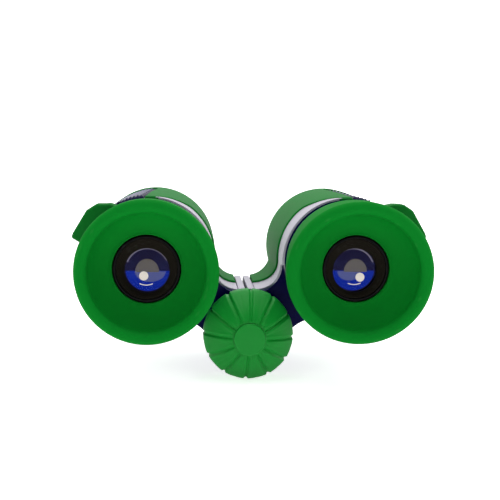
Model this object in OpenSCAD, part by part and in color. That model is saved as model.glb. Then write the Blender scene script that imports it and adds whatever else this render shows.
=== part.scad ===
/* [Opening and barrels] */
// Distance between the two eyepiece axes as the halves lie at rest
eye_distance = 62; // [60:1:66]
// How far the hinge axis lies below the plane of the two barrel axes
hinge_drop = 23; // [22:0.5:25]
// Outer radius of the plastic barrel
barrel_r = 19.7; // [19.5:0.1:20]
// Wall thickness of the barrel
barrel_wall = 4.2; // [3.8:0.1:4.4]
// Where the thick part of the barrel starts, measured from the eyecup rim
barrel_rear = 25.6; // [25.4:0.1:26]
// Front end of the plastic barrel, measured from the eyecup rim
barrel_front = 84; // [83:0.5:86]

/* [Eyecups and eyepieces] */
// Outer radius of an eyecup at its rim
cup_r = 20.9; // [20:0.1:22]
// Depth of the funnel from the rim to the lens mount
cup_depth = 8.6; // [8:0.1:9]
// Outer radius of the skirt at its rear end
skirt_r = 19.4; // [19:0.1:19.6]
// Length of the skirt over the barrel's neck
skirt_len = 20; // [19:0.5:20]
// Outer radius of the lens mount in the middle of the funnel
mount_r = 10; // [9.8:0.1:10]
// Radius of the eye lens that shows inside its retaining ring
eye_lens_r = 6.7; // [6:0.1:7]
// How far the right eyepiece is screwed in at rest
right_set_back = 1.4; // [1:0.1:1.6]

/* [Bridge and hinge] */
// Rear face of the bridge
bridge_rear = 33; // [33:0.5:34]
// Front face of the bridge
bridge_front = 68; // [67:0.5:69]
// Outer radius of the plastic round the hinge axis
hinge_cover_r = 12; // [11.5:0.1:12.5]
// Radius of the knuckles
knuckle_r = 8.8; // [8.4:0.1:8.8]
// Radius of the hollow hinge axle
axle_r = 4; // [3.8:0.1:4]
// Half of the gap between the two halves at rest
half_gap = 0.35; // [0.35:0.05:0.5]
// Angle cut away under the hinge on each side so that the halves can open
open_angle = 17; // [16.5:0.5:20]

/* [Focusing] */
// Radius of the focus knob
knob_r = 14.3; // [13.5:0.1:14.5]
// Radius of the flat cap in the middle of the knob
knob_cap_r = 4.9; // [4:0.1:5.5]
// Face of the knob cap, measured from the eyecup rim
knob_face = 17.4; // [17:0.1:18]
// Number of petals round the knob
petals = 12; // [8:1:14]
// Radius of the focus screw
screw_r = 1.8; // [1.6:0.1:1.8]
// Objective cell radius
cell_r = 12.6; // [12.4:0.1:12.6]

/* [Armour] */
// Outer radius of the rubber armour round the objective
armour_r = 21.1; // [20.9:0.1:21.5]
// Front end of the rubber bumper
bumper_front = 87; // [86.5:0.1:88]
// Rear edge of the silver band on the barrel
band_rear = 26.1; // [26:0.1:28]
// Width of the silver bar beside the gap between the halves
bar_w = 2.5; // [2:0.1:3]
// Spacing of the ribs on the grip pad
rib_pitch = 4; // [3.5:0.5:5]

/* [Strap lugs] */
// Height of the lug's middle above the outward horizontal, in degrees
lug_tilt = 30; // [25:1:35]
// Rear face of the lug
lug_rear = 26.6; // [26.5:0.1:28]
// Length of the lug along the barrel
lug_len = 7; // [6:0.5:8]
// Radius of the hole for the strap cord
lug_hole_r = 1.6; // [1.2:0.1:1.8]
// Distance of the strap hole from the barrel axis
lug_hole_at = 23.6; // [23.2:0.1:23.8]

/* [Hidden] */
$fn = 96;
a = eye_distance / 2;
hz = -hinge_drop;
reach = sqrt(a * a + hinge_drop * hinge_drop);
web_angle = atan2(hinge_drop, a);
bore_r = barrel_r - barrel_wall;
run = 0.05;
eps = 0.05;

// Hinge knuckles along the axis: the rear and front pairs belong to the left half
knuckle_1 = [bridge_rear, 41];
knuckle_2 = [41.5, 50];
knuckle_3 = [61.5, 66];
window = [50.6, 61.1];
washer_t = 0.3;
axle_bore_r = 2.6;

// Focus carriage and its arms
carriage_y = [53, 59];
left_arm_y = [53.6, 55.6];
right_arm_y = [56.4, 58.4];
arm_ring = [6.25, 7.8];
arm_h = 4;
tab_w = 1.9;

// Eyepiece stations, measured from the rim of its own eyecup
sleeve_r = 12;
sleeve_front = 16;
housing_end = 33.6;
eye_lens_y = 12.6;
field_lens_y = 20;
stop_y = 30;
neck_r = 17.2;
neck_y = 14.6;
collar_front = 25.4;

// Prism stations
holder_y = [36.6, 51.6];
holder_r = bore_r - 0.15;
prism_w = 15;

// Objective stations
cell_y = [59.5, 81];
lens_seat_y = 74.5;
objective_r = 11.6;
clear_r = 10.5;
sleeve_y = 64;

// The armour's rear edge on the outer side, height against distance: it sweeps forward to the top
outer_edge = [
    [-60, 40], [-2, 40], [4, 42], [9, 46], [13, 53], [16.2, 63], [18.5, 72], [20, 76.5], [24, 79]
];

// The same edge on the inner side, across against distance: from the gap over the bridge,
// along the flank of the barrel and back to the top, where it turns forward beside the grip
inner_edge = [
    [0, 52], [3, 51.2], [5.5, 49.2], [7.5, 47], [9, 45], [10, 43], [11, 41], [12.5, 40],
    [18.3, 40], [20.3, 37.5], [21.7, 34.9], [23.6, 33.2], [25.6, 31.2], [27.6, 28.5], [29.6, 26.4]
];
grip_side = [[a + 1.4, 26], [a + 0.5, 45], [a - 0.7, 75], [a - 0.7, 95]];

// The silver band's rear edge on the bridge, across against distance
bridge_band = [[-1, 38], [0, 38], [3, 37.2], [6, 35.4], [8.5, 33.7], [9.5, 33.3]];
band_start = 33.3;

// Puts a flat outline, drawn as x against z, between two distances along the look direction
module along(y0, y1) {
    translate([0, y1, 0]) rotate([90, 0, 0]) linear_extrude(y1 - y0) children();
}

// Spins an outline, drawn as radius against distance, about an axis parallel to the look direction
module turned(points, x = 0, z = 0) {
    translate([x, 0, z]) rotate([-90, 0, 0]) rotate_extrude() polygon(points);
}

// A plain round bar or hole
module rod(r, y0, y1, x = 0, z = 0) {
    translate([x, y0, z]) rotate([-90, 0, 0]) cylinder(r = r, h = y1 - y0);
}

// A plain round tube
module tube(r_out, r_in, y0, y1, x = 0, z = 0) {
    difference() {
        rod(r_out, y0, y1, x, z);
        rod(r_in, y0 - 1, y1 + 1, x, z);
    }
}

// Moves a finished piece from the eyecup rim's frame to the middle of the whole object's box
module placed() {
    translate([0, -bumper_front / 2, -(armour_r + hz - knob_r) / 2]) children();
}

// Everything on the left is the mirror image of the right
module left() {
    mirror([1, 0, 0]) children();
}

// Moves children from the hinge axis's own frame, whose x axis points at the right barrel axis
module on_web() {
    translate([0, 0, hz]) rotate([0, -web_angle, 0]) children();
}

// Centre of a fillet that touches the barrel and the hinge cover; side is 1 above and -1 below
function fillet_at(fillet, side) =
    let (
        to_hinge = hinge_cover_r + fillet,
        to_barrel = barrel_r + fillet,
        along_web = (to_hinge * to_hinge - to_barrel * to_barrel + reach * reach) / (2 * reach),
        off_web = side * sqrt(to_hinge * to_hinge - along_web * along_web)
    )
    [
        along_web * cos(web_angle) - off_web * sin(web_angle),
        hz + along_web * sin(web_angle) + off_web * cos(web_angle)
    ];

top_fillet = 9.4;
low_fillet = 14;
blend = 0.04;
top_at = fillet_at(top_fillet, 1);
low_at = fillet_at(low_fillet, -1);

// Outline of the right half across the bridge, grown by an even skin
module section(skin = 0) {
    translate([a, 0]) circle(barrel_r + skin);
    translate([0, hz]) circle(hinge_cover_r + skin);
    difference() {
        polygon([[0, hz], low_at, [a, 0], top_at]);
        translate(top_at) circle(top_fillet - skin - blend);
        translate(low_at) circle(low_fillet - skin - blend);
    }
}

// What lies on the far side of the gap plane, seen from the right half
module other_side() {
    low = 60;
    polygon([
        [half_gap, 60],
        [half_gap, hz],
        [half_gap + low * tan(open_angle), hz - low],
        [-60, hz - low],
        [-60, 60]
    ]);
}

// Space in front of the armour's outer edge, shifted back by an amount; the bridge is left out
module ahead_outer(back = 0) {
    points = concat(
        [for (p = outer_edge) [p[1] - back, p[0]]],
        [[120, 24], [120, -60]]
    );
    flank = 12.5;
    translate([flank, 0, 0]) rotate([90, 0, 90]) linear_extrude(70 - flank) polygon(points);
}

// Space in front of the armour's inner edge, shifted back and outward by an amount
module ahead_inner(back = 0) {
    points = concat(
        [[-1, inner_edge[0][1] - back]],
        [for (p = inner_edge) [p[0], p[1] - back]],
        [for (p = grip_side) [p[0] + back, p[1] - back]],
        [[-1, 95]]
    );
    translate([0, 0, -22]) linear_extrude(52) polygon(points);
}

// Ring segment of one knuckle with its root in the cover
module knuckle(span) {
    difference() {
        union() {
            rod(knuckle_r, span[0], span[1], 0, hz);
            along(span[0], span[1]) intersection() {
                translate([0, hz]) circle(knuckle_r + 0.6);
                polygon([[0, hz], [20, hz - 14], [20, hz + 36], [6, hz + 20]]);
            }
        }
        rod(axle_r + run, span[0] - 1, span[1] + 1, 0, hz);
    }
}

// Plastic half: barrel, web and hinge cover, with the given knuckles
module body_half(knuckles) {
    difference() {
        union() {
            rod(barrel_r, barrel_rear, barrel_front, a);
            rod(neck_r, neck_y, barrel_rear + 1, a);
            difference() {
                along(bridge_rear, bridge_front) section();
                along(bridge_rear - 1, bridge_front + 1) other_side();
                rod(knuckle_r + 0.4, bridge_rear - 1, bridge_front + 1, 0, hz);
            }
            for (span = knuckles) knuckle(span);
        }
        rod(bore_r, neck_y - 1, barrel_rear - 2, a);
        rod(sleeve_r + run, neck_y - 1, barrel_front, a);
        rod(bore_r, 36.2, sleeve_y, a);
        rod(bore_r, barrel_rear + 2.4, 36.3, a);
        rod(cell_r + run, sleeve_y - 1, barrel_front + 1, a);
        on_web() translate([knuckle_r + 0.2, window[0], -arm_h / 2 - 1.2])
            cube([reach - 2 * knuckle_r, window[1] - window[0], arm_h + 2.4]);
    }
    tube(sleeve_r + 1.6, sleeve_r + run, barrel_rear, 36, a);
}

module left_body() {
    color("midnightblue") placed() left() body_half([knuckle_1, knuckle_3]);
}

module right_body() {
    color("midnightblue") placed() body_half([knuckle_2]);
}

// Strip of the given width along the top of the bridge, next to the gap
module beside_gap(width) {
    translate([-1, bridge_rear - 1, hz]) cube([1 + width, bridge_front - bridge_rear + 2, 20]);
}

// Outline of the bridge's top, between the gap and the barrel
module bridge_top(skin) {
    intersection() {
        section(skin);
        polygon([[0, -30], [0, 10], [a, 10], [a, 0], [11, -16], [4, -16]]);
    }
}

// Rubber skin over the front of the barrel and over the top of the bridge
module armour_half() {
    mouth_r = 13.2;
    rear_r = barrel_r + 0.8;
    skin = 1.3;
    difference() {
        union() {
            intersection() {
                turned([
                    [barrel_r - 1, 26], [rear_r, 26], [20.9, 40], [armour_r, 54], [armour_r, 81],
                    [20.9, 83.6], [20.2, 85.6], [19.2, 86.7], [18, bumper_front],
                    [14.6, bumper_front], [13.6, 86.4], [mouth_r, 85.6], [mouth_r, 83],
                    [barrel_r - 1, 83]
                ], a);
                union() {
                    ahead_outer();
                    ahead_inner();
                }
            }
            intersection() {
                difference() {
                    along(38, bridge_front - 0.6) bridge_top(skin);
                    rod(barrel_r + 0.1, 0, 100, a);
                }
                ahead_inner();
            }
        }
        along(bridge_rear - 1, bridge_front + 1) other_side();
        along(bridge_rear - 1, bridge_front + 1) section(eps);
        beside_gap(bar_w + 0.15);
        rod(barrel_r + eps, 20, barrel_front + eps, a);
        rod(mouth_r, 80, 100, a);
    }
}

module left_armour() {
    color("green") placed() left() armour_half();
}

module right_armour() {
    color("green") placed() armour_half();
}

// Silver band over the bridge and up the barrel's inner flank, with a bar beside the gap
module trim_half() {
    skin = 0.7;
    band_end = 28.4;
    flank = barrel_r + skin;
    difference() {
        union() {
            intersection() {
                rod(flank, band_rear, 50, a);
                translate([0, 0, -1.1]) cube([band_end, 60, flank + 2]);
            }
            along(band_start, bridge_front - 0.6) bridge_top(skin);
        }
        along(bridge_rear - 1, bridge_front + 1) other_side();
        along(bridge_rear - 1, bridge_front + 1) section(eps);
        rod(barrel_r + eps, 20, 90, a);
        difference() {
            ahead_inner(eps);
            beside_gap(bar_w);
        }
        translate([0, 0, -30]) linear_extrude(29)
            polygon(concat(bridge_band, [[9.5, 30], [-1, 30]]));
    }
}

module left_trim() {
    color("silver") placed() left() trim_half();
}

module right_trim() {
    color("silver") placed() trim_half();
}

// Ribbed pad on the outer top of the barrel
module grip_half() {
    pad = [28, 74];
    pad_r = barrel_r + 0.8;
    rib_r = armour_r;
    rib_w = 1.6;
    edge_gap = 0.5;
    intersection() {
        difference() {
            union() {
                rod(pad_r, pad[0], pad[1], a);
                for (y = [pad[0] + 2 : rib_pitch : pad[1] - 2]) rod(rib_r, y, y + rib_w, a);
            }
            rod(barrel_r + eps, 20, 80, a);
            ahead_outer(edge_gap);
            ahead_inner(edge_gap);
            translate([a, 0, 0]) along(20, lug_rear + lug_len + 1)
                polygon([[0, 0], [20, 36], [40, 36], [40, 0]]);
        }
        translate([a, 0, 0]) along(pad[0], pad[1]) polygon([[-2, 0], [-2, 40], [26, 40], [30, 22]]);
    }
}

module left_grip() {
    color("navy") placed() left() grip_half();
}

module right_grip() {
    color("navy") placed() grip_half();
}

// Lug with a round hole for the strap cord
module lug_half() {
    difference() {
        translate([a, 0, 0]) rotate([0, -lug_tilt, 0]) difference() {
            along(lug_rear, lug_rear + lug_len) polygon([
                [16, -6], [26.2, -6], [26.7, -5.4], [26.7, 4.1], [25.9, 5.9], [25.2, 6.7],
                [23.8, 7.9], [22.4, 8.3], [20.9, 8.6], [19.6, 8.9], [18, 9.3], [15, 9.3]
            ]);
            translate([lug_hole_at, lug_rear + lug_len / 2, -10]) cylinder(r = lug_hole_r, h = 24);
        }
        rod(barrel_r, lug_rear - 1, lug_rear + lug_len + 1, a);
    }
}

module left_strap_lug() {
    color("darkgreen") placed() left() lug_half();
}

module right_strap_lug() {
    color("darkgreen") placed() lug_half();
}

// Soft rubber cup: rounded rim, funnel down to the lens mount, skirt over the barrel's neck
lip_r = 1.9;
lip_in = cup_r - 2 * lip_r;
function rim(n) = [
    for (i = [0 : n])
    let (t = 180 * i / n)
    [cup_r - lip_r - lip_r * cos(t), lip_r - lip_r * sin(t)]
];
function funnel(n) = [
    for (i = [0 : n])
    let (t = 90 * i / n)
    [mount_r + 0.1 + (lip_in - mount_r - 0.1) * sin(t), lip_r + (cup_depth - lip_r) * cos(t)]
];

module eyecup() {
    turned(concat(
        funnel(8),
        rim(10),
        [
            [20.5, 8], [skirt_r, skirt_len], [skirt_r - 1.5, skirt_len], [skirt_r - 1.1, 11.4],
            [12.2, 11.4], [12.2, 13.4], [mount_r + 0.1, 13.4]
        ]
    ));
}

module left_eyecup() {
    color("forestgreen") placed() translate([-a, 0, 0]) eyecup();
}

module right_eyecup() {
    color("forestgreen") placed() translate([a, right_set_back, 0]) eyecup();
}

// Lens mount: front tube in the cup, wider sleeve in the barrel
module eyepiece_tube() {
    turned([
        [mount_r - 1, 8.9], [mount_r - 0.2, 8.9], [mount_r, 9.2], [mount_r, sleeve_front],
        [sleeve_r, sleeve_front], [sleeve_r, housing_end], [sleeve_r - 1.5, housing_end],
        [sleeve_r - 1.5, 24.4], [8.6, 24.4], [8.6, 22.4], [7.6, 22.4], [7.6, 16.4], [8.6, 16.4],
        [8.6, 12.4], [mount_r - 1, 12.4]
    ]);
}

module left_eyepiece_tube() {
    color("black") placed() translate([-a, 0, 0]) eyepiece_tube();
}

module right_eyepiece_tube() {
    color("black") placed() translate([a, right_set_back, 0]) eyepiece_tube();
}

// Stepped black ring that holds the eye lens
module eye_lens_ring() {
    turned([
        [mount_r - 1.02, 9.3], [mount_r - 1.02, 12.4], [8, 12.4], [7.5, 12.3],
        [eye_lens_r, 12.3], [eye_lens_r, 11.6],
        [7.3, 11.4], [7.3, 10.9], [7.9, 10.7], [7.9, 10.2], [8.5, 10], [8.5, 9.3]
    ]);
}

module left_eye_lens_ring() {
    color("dimgray") placed() translate([-a, 0, 0]) eye_lens_ring();
}

module right_eye_lens_ring() {
    color("dimgray") placed() translate([a, right_set_back, 0]) eye_lens_ring();
}

// Lens outline: a flat rim between two spherical faces given by how far each bulges
function cap_line(r, y, bulge, n) = [
    for (i = [0 : n])
    let (q = r * i / n)
    [q, y - bulge * (1 - q * q / (r * r))]
];

module lens(r, y, bulge_rear, bulge_front, thick) {
    n = 8;
    front = cap_line(r, y + thick, -bulge_front, n);
    turned(concat(cap_line(r, y, bulge_rear, n), [for (i = [n : -1 : 0]) front[i]]));
}

module eye_lens() {
    lens(7.5, eye_lens_y, 1.3, 0.6, 2.2);
}

module left_eye_lens() {
    color("lightblue", 0.5) placed() translate([-a, 0, 0]) eye_lens();
}

module right_eye_lens() {
    color("lightblue", 0.5) placed() translate([a, right_set_back, 0]) eye_lens();
}

module left_lens_spacer() {
    color("black") placed() translate([-a, 0, 0]) tube(7.5, 6.4, 15.5, field_lens_y - 0.9);
}

module right_lens_spacer() {
    color("black") placed() translate([a, right_set_back, 0]) tube(7.5, 6.4, 15.5, field_lens_y - 0.9);
}

module field_lens() {
    lens(7.5, field_lens_y, 0.8, 0.4, 1.6);
}

module left_field_lens() {
    color("lightblue", 0.5) placed() translate([-a, 0, 0]) field_lens();
}

module right_field_lens() {
    color("lightblue", 0.5) placed() translate([a, right_set_back, 0]) field_lens();
}

module left_field_stop() {
    color("black") placed() translate([-a, 0, 0]) tube(sleeve_r - 1.55, 5.5, stop_y, stop_y + 1);
}

module right_field_stop() {
    color("black") placed() translate([a, right_set_back, 0]) tube(sleeve_r - 1.55, 5.5, stop_y, stop_y + 1);
}

// Fixed ring behind the left eyecup
module left_collar() {
    color("midnightblue") placed() tube(19.3, neck_r + 0.02, 20.6, collar_front, -a);
}

// Ring that turns the right eyepiece, with shallow flutes round its edge
module diopter_ring() {
    ring_rear = 23;
    ring_front = collar_front;
    flutes = 24;
    color("midnightblue") placed() difference() {
        tube(19.3, neck_r + run, ring_rear, ring_front, a);
        for (i = [0 : flutes - 1])
            translate([a, 0, 0]) rotate([0, 360 * i / flutes, 0])
                rod(0.7, ring_rear - 1, ring_front + 1, 19.7);
    }
}

// Round block with a square well for the two prisms
module prism_holder() {
    difference() {
        rod(holder_r, holder_y[0], holder_y[1]);
        along(holder_y[0] + 1.5, holder_y[1] + 1) square([prism_w + 0.4, prism_w + 0.4], center = true);
        rod(6.5, holder_y[0] - 1, holder_y[1]);
    }
}

module left_prism_holder() {
    color("black") placed() translate([-a, 0, 0]) prism_holder();
}

module right_prism_holder() {
    color("black") placed() translate([a, 0, 0]) prism_holder();
}

// Roof prism: side outline as distance against height, with the roof ridge on top
module roof_prism() {
    y0 = holder_y[0] + 7.4;
    h = prism_w / 2;
    intersection() {
        translate([-h, 0, 0]) rotate([90, 0, 90]) linear_extrude(prism_w)
            polygon([
                [y0, -h], [holder_y[1] - 1, -h], [holder_y[1] - 1, 2], [y0 + 5, h], [y0 + 3, h], [y0, 2]
            ]);
        along(y0 - 1, holder_y[1]) polygon([[-h, -h], [h, -h], [h, 3], [0, h], [-h, 3]]);
    }
}

module left_roof_prism() {
    color("aliceblue", 0.5) placed() translate([-a, 0, 0]) roof_prism();
}

module right_roof_prism() {
    color("aliceblue", 0.5) placed() translate([a, 0, 0]) roof_prism();
}

// Half-penta prism behind the roof prism
module half_prism() {
    y0 = holder_y[0] + 1.6;
    h = prism_w / 2;
    translate([-h, 0, 0]) rotate([90, 0, 90]) linear_extrude(prism_w)
        polygon([[y0, -h], [y0 + 5.6, -h], [y0 + 5.6, h], [y0 + 2.4, h], [y0, 3]]);
}

module left_half_prism() {
    color("aliceblue", 0.5) placed() translate([-a, 0, 0]) half_prism();
}

module right_half_prism() {
    color("aliceblue", 0.5) placed() translate([a, 0, 0]) half_prism();
}

// Sheet-metal bridge that presses the prisms into their holder
module prism_spring() {
    difference() {
        along(holder_y[1], holder_y[1] + 0.5) intersection() {
            circle(holder_r - 0.4);
            square([2 * holder_r, 7], center = true);
        }
        rod(5.5, holder_y[1] - 1, holder_y[1] + 2);
    }
    tube(7, 5.5, holder_y[1], holder_y[1] + 0.5);
}

module left_prism_spring() {
    color("silver") placed() translate([-a, 0, 0]) prism_spring();
}

module right_prism_spring() {
    color("silver") placed() translate([a, 0, 0]) prism_spring();
}

// Sliding tube that carries the objective lens
module objective_cell() {
    turned([
        [clear_r, cell_y[0]], [cell_r, cell_y[0]], [cell_r, cell_y[1]], [objective_r + 0.05, cell_y[1]],
        [objective_r + 0.05, lens_seat_y], [clear_r, lens_seat_y]
    ]);
}

module left_objective_cell() {
    color("black") placed() translate([-a, 0, 0]) objective_cell();
}

module right_objective_cell() {
    color("black") placed() translate([a, 0, 0]) objective_cell();
}

module objective_lens() {
    lens(objective_r, lens_seat_y + 0.9, 0.7, 1.1, 2.4);
}

module left_objective_lens() {
    color("lightcoral", 0.5) placed() translate([-a, 0, 0]) objective_lens();
}

module right_objective_lens() {
    color("lightcoral", 0.5) placed() translate([a, 0, 0]) objective_lens();
}

module objective_ring() {
    turned([[clear_r, 79], [objective_r, 78.2], [objective_r, 80.6], [11.2, 80.8], [clear_r, 79.6]]);
}

module left_objective_ring() {
    color("black") placed() translate([-a, 0, 0]) objective_ring();
}

module right_objective_ring() {
    color("black") placed() translate([a, 0, 0]) objective_ring();
}

// Arm from the carriage through the web to the objective cell
module focus_arm(span) {
    claw = reach - cell_r - 1.8;
    claw_end = 62.2;
    root = (arm_ring[0] + arm_ring[1]) / 2;
    inset = 0.1;
    difference() {
        union() {
            rod(arm_ring[1], span[0], span[1], 0, hz);
            on_web() translate([root, span[0] + inset, -arm_h / 2])
                cube([claw + 1 - root, span[1] - span[0] - 2 * inset, arm_h]);
            on_web() translate([claw, span[0] + 2 * inset, -arm_h / 2 + inset])
                cube([2.4, claw_end - span[0] - 2 * inset, arm_h - 2 * inset]);
        }
        rod(arm_ring[0], span[0] - 1, span[1] + 1, 0, hz);
        rod(cell_r + 0.02, span[0] - 1, 70, a);
        on_web() translate([0, 60.9, 0]) rotate([0, 90, 0]) cylinder(r = 0.6, h = reach);
    }
}

module left_focus_arm() {
    color("dimgray") placed() left() focus_arm(left_arm_y);
}

module right_focus_arm() {
    color("dimgray") placed() focus_arm(right_arm_y);
}

// Small screw that pins the arm to the cell
module arm_screw() {
    out = reach - cell_r - 2.6;
    on_web() translate([out, 60.9, 0]) rotate([0, 90, 0]) {
        cylinder(r = 1.1, h = 0.75);
        cylinder(r = 0.55, h = 2.6);
    }
}

module left_arm_screw() {
    color("silver") placed() left() arm_screw();
}

module right_arm_screw() {
    color("silver") placed() arm_screw();
}

// Hollow axle with two long slots for the carriage's tabs
module hinge_axle() {
    slot = [50.8, 61];
    color("silver") placed() difference() {
        tube(axle_r, axle_bore_r, 32.2, 66.4, 0, hz);
        translate([-tab_w / 2 - 0.15, slot[0], hz - 10])
            cube([tab_w + 0.3, slot[1] - slot[0], 20]);
    }
}

module washer(y) {
    tube(8, axle_r + run, y, y + washer_t, 0, hz);
}

module hinge_washers() {
    color("white") placed() {
        washer(knuckle_1[1] + 0.1);
        washer(knuckle_2[1] + 0.1);
        washer(knuckle_3[0] - washer_t - 0.05);
    }
}

// Round cap over the front end of the hinge
module hinge_end_cap() {
    color("midnightblue") placed() difference() {
        turned([
            [0, 66.5], [8.4, 66.5], [8.4, 68.2], [8, 69], [7, 69.4], [3.2, 69.4], [3.2, 68.4], [0, 68.4]
        ], 0, hz);
        rod(1.5, 60, 70, 0, hz);
    }
}

module hinge_end_screw() {
    color("silver") placed() difference() {
        union() {
            rod(2.7, 68.45, 69.3, 0, hz);
            rod(1.45, 63.2, 68.5, 0, hz);
        }
        along(68.8, 70) translate([0, hz]) square([3.4, 0.6], center = true);
        along(68.8, 70) translate([0, hz]) square([0.6, 3.4], center = true);
    }
}

// Flanged bush at the rear of the hinge that the focus screw turns in
module knob_bush() {
    color("goldenrod") placed() turned([
        [screw_r + run, 31.2], [6, 31.2], [6, 32.15], [2.55, 32.15], [2.55, 36], [screw_r + run, 36]
    ], 0, hz);
}

module focus_screw() {
    color("silver") placed() rod(screw_r, 23, 61.8, 0, hz);
}

// Clip in front of the bush that stops the screw from pulling out
module screw_clip() {
    color("silver") placed() tube(2.4, screw_r, 36.2, 36.9, 0, hz);
}

// Slider on the axle: flanges hold the two arms, tabs reach the nut on the screw
module focus_carriage() {
    flange_r = 7.4;
    side_gap = 0.1;
    color("dimgray") placed() difference() {
        union() {
            rod(arm_ring[0] - run, carriage_y[0], carriage_y[1], 0, hz);
            rod(flange_r, carriage_y[0], left_arm_y[0] - side_gap, 0, hz);
            rod(flange_r, right_arm_y[1] + side_gap, carriage_y[1], 0, hz);
            rod(flange_r, left_arm_y[1] + side_gap, right_arm_y[0] - side_gap, 0, hz);
        }
        difference() {
            rod(axle_r + run, carriage_y[0] - 1, carriage_y[1] + 1, 0, hz);
            rod(axle_bore_r - 0.1, carriage_y[0] - 2, carriage_y[1] + 2, 0, hz);
            translate([-tab_w / 2, carriage_y[0] + 1, hz - 5]) cube([tab_w, 4, 10]);
        }
        rod(screw_r + run, carriage_y[0] - 1, carriage_y[1] + 1, 0, hz);
    }
}

// Domed knob with a groove between each pair of petals
dome_rear = 18.3;
dome_rim = 25;
function dome_y(r) = dome_rear + (dome_rim - dome_rear) * pow(max(0, (r - 5) / (knob_r - 5)), 1.7);
function dome(n, sink) = [
    for (i = [0 : n])
    let (r = 5 + (knob_r - 5) * i / n)
    [r, dome_y(r) + sink]
];

module focus_knob() {
    groove_w = 1;
    groove_d = 1.1;
    color("forestgreen") placed() difference() {
        turned(concat(
            [[0, dome_rear + 0.9], [knob_cap_r + 0.1, dome_rear + 0.9], [knob_cap_r + 0.1, dome_rear]],
            dome(8, 0),
            [
                [knob_r, 29.6], [13.6, 30.4], [12.4, 30.4], [12.4, 27], [7.4, 27], [7.4, 22.5],
                [5.2, 22.5], [5.2, 30.8], [0, 30.8]
            ]
        ), 0, hz);
        rod(screw_r, 22, 40, 0, hz);
        rod(1.3, 10, 23, 0, hz);
        for (i = [0 : petals - 1])
            translate([0, 0, hz]) rotate([0, 360 * i / petals, 0]) translate([0, 0, -groove_w / 2])
                linear_extrude(groove_w) polygon(concat(
                    dome(6, groove_d),
                    [[knob_r - 0.8, dome_rim + 1.6], [knob_r - 0.8, 31], [20, 31], [20, 15], [5, 15]]
                ));
    }
}

module knob_cap() {
    color("forestgreen") placed() difference() {
        turned([
            [0, knob_face], [knob_cap_r - 0.3, knob_face], [knob_cap_r, knob_face + 0.3],
            [knob_cap_r, dome_rear + 0.9], [0, dome_rear + 0.9]
        ], 0, hz);
        rod(2.3, dome_rear, 30, 0, hz);
    }
}

// Screw under the cap that holds the knob on the focus screw
module knob_screw() {
    color("silver") placed() {
        rod(2.2, dome_rear + 0.1, dome_rear + 0.9, 0, hz);
        rod(1.3, dome_rear + 0.8, 23, 0, hz);
    }
}

left_body();
right_body();
left_armour();
right_armour();
left_trim();
right_trim();
left_grip();
right_grip();
left_strap_lug();
right_strap_lug();
left_eyecup();
right_eyecup();
left_eyepiece_tube();
right_eyepiece_tube();
left_eye_lens_ring();
right_eye_lens_ring();
left_eye_lens();
right_eye_lens();
left_lens_spacer();
right_lens_spacer();
left_field_lens();
right_field_lens();
left_field_stop();
right_field_stop();
left_collar();
diopter_ring();
left_prism_holder();
right_prism_holder();
left_roof_prism();
right_roof_prism();
left_half_prism();
right_half_prism();
left_prism_spring();
right_prism_spring();
left_objective_cell();
right_objective_cell();
left_objective_lens();
right_objective_lens();
left_objective_ring();
right_objective_ring();
left_focus_arm();
right_focus_arm();
left_arm_screw();
right_arm_screw();
hinge_axle();
hinge_washers();
hinge_end_cap();
hinge_end_screw();
knob_bush();
focus_screw();
screw_clip();
focus_carriage();
focus_knob();
knob_cap();
knob_screw();
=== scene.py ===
import math

import bmesh
import bpy
from mathutils import Matrix, Vector


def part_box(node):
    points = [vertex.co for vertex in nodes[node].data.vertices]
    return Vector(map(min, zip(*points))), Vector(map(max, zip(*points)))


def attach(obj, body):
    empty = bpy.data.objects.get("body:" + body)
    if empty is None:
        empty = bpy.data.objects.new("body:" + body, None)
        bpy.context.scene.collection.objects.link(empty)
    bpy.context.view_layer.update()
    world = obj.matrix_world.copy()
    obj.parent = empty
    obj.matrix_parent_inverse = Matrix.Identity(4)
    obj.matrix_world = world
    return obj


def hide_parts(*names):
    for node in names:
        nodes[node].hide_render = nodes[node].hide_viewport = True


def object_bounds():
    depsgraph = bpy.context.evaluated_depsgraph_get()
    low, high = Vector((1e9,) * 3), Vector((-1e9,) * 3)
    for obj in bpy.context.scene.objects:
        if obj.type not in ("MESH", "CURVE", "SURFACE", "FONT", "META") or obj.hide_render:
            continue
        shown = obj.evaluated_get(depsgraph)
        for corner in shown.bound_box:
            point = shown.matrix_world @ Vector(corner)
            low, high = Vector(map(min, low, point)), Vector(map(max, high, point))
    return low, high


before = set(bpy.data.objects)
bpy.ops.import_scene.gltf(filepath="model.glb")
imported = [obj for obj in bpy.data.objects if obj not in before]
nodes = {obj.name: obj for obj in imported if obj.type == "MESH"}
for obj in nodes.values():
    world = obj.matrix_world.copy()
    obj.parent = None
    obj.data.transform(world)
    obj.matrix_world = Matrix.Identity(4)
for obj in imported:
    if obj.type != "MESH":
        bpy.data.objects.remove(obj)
cad_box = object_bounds()

# ---------------------------------------------------------------- the object's own places
# Shapes are written in millimetres for the right half: x to the right, y along the look
# direction from the eyecup rim, z up from the plane of the two barrel axes.

MM = 0.001
SIDES = {"left": -1, "right": 1}

left_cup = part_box("left_eyecup")
right_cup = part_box("right_eyecup")
knob_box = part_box("focus_knob")
armour_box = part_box("right_armour")

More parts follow.
